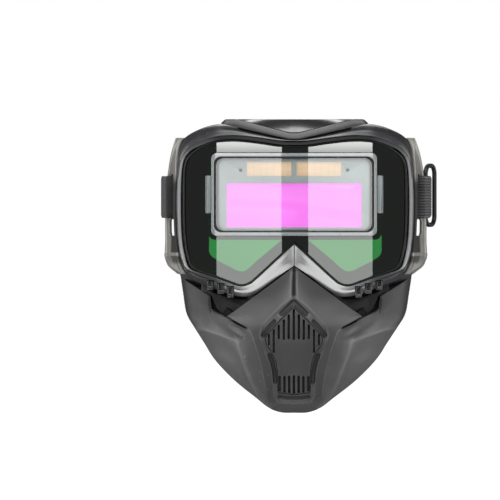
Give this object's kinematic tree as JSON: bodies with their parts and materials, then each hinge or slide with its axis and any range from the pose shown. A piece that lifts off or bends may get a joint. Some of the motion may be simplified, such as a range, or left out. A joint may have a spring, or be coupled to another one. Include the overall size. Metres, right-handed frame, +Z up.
{
  "type": "welding goggles",
  "caption": "Wrap-round welding goggles with a clip-in auto-darkening cartridge, green lens, detachable face mask and elastic head strap.",
  "frame": {"origin": "centre of the cartridge's front cover plate, on its front face", "axes": "-Y is the way the wearer looks, +X is to the right seen from the front, +Z is up"},
  "size_m": [0.1963, 0.2107, 0.2062],
  "materials": {
    "satin_black": "satin moulded shell, soft highlights",
    "matte_black": "fine matte moulded texture",
    "smoke_grey": "smoky translucent-looking grey, glossy",
    "black_rubber": "soft matte rubber",
    "black_foam": "open-cell foam faced with fleece",
    "green_lens": "green tinted polycarbonate, high gloss",
    "bezel_grey": "light grey, fine gloss",
    "panel_grey": "printed grey mask behind the cover",
    "clear_cover": "clear polycarbonate",
    "filter_magenta": "dichroic coating, magenta in reflection",
    "lcd_stack": "laminated liquid crystal shutter",
    "solar_tan": "amorphous silicon cell, tan with fine lines",
    "board_green": "solder-masked board",
    "cell_steel": "brushed",
    "black_webbing": "woven elastic webbing with fine ribs",
    "black_wire": "black coated wire",
    "filter_felt": "charcoal filter felt"
  },
  "bodies": {
    "goggle": {"goggle_frame": "satin_black", "brow_panel": "satin_black", "brow_band": "satin_black", "lens_gasket": "black_rubber", "front_lens": "green_lens", "cartridge_gasket": "black_rubber", "inner_frame": "black_rubber", "face_skirt": "black_rubber", "face_foam": "black_foam", "vent_foam_top": "black_foam", "strap_wing_left": "smoke_grey", "strap_wing_right": "smoke_grey", "vent_clip_left_1": "satin_black", "vent_clip_left_2": "satin_black", "vent_clip_left_3": "satin_black", "vent_clip_right_1": "satin_black", "vent_clip_right_2": "satin_black", "vent_clip_right_3": "satin_black", "strap_end_left": "black_webbing", "strap_end_right": "black_webbing"},
    "cartridge": {"cartridge_housing": "bezel_grey", "cartridge_bezel": "bezel_grey", "cover_plate_front": "clear_cover", "front_panel": "panel_grey", "filter_glass": "filter_magenta", "lcd_shutter": "lcd_stack", "solar_cell_left": "solar_tan", "solar_cell_right": "solar_tan", "arc_sensor_left": "black_rubber", "arc_sensor_right": "black_rubber", "circuit_board": "board_green", "backup_cell": "cell_steel", "cover_plate_rear": "clear_cover"},
    "latch_left": {"cartridge_latch_left": "bezel_grey"},
    "latch_right": {"cartridge_latch_right": "bezel_grey"},
    "mask": {"mask_shell": "matte_black", "grille_plate": "matte_black", "filter_pad": "filter_felt", "filter_retainer": "matte_black", "mask_bracket_left": "satin_black", "mask_bracket_right": "satin_black"},
    "strap": {"strap_rear": "black_webbing"},
    "adjuster": {"strap_adjuster": "black_wire"}
  },
  "joints": [
    {"name": "mask_release", "type": "slide", "parent": "goggle", "child": "mask", "axis": [0, 0, -1], "range_m": [0, 0.045]},
    {"name": "cartridge_release", "type": "slide", "parent": "goggle", "child": "cartridge", "axis": [0, -1, 0], "range_m": [0, 0.036]},
    {"name": "latch_left_pivot", "type": "hinge", "parent": "cartridge", "child": "latch_left", "pos_m": [-0.0584, 0.021, 0], "axis": [0, 0, 1], "range_deg": [-10, 0]},
    {"name": "latch_right_pivot", "type": "hinge", "parent": "cartridge", "child": "latch_right", "pos_m": [0.0584, 0.021, 0], "axis": [0, 0, 1], "range_deg": [0, 10]},
    {"name": "strap_tilt", "type": "hinge", "parent": "goggle", "child": "strap", "pos_m": [0, 0.098, -0.002], "axis": [1, 0, 0], "range_deg": [-20, 35]},
    {"name": "adjuster_slide", "type": "slide", "parent": "strap", "child": "adjuster", "axis": [0, 1, 0], "range_m": [0, 0.033]}
  ]
}
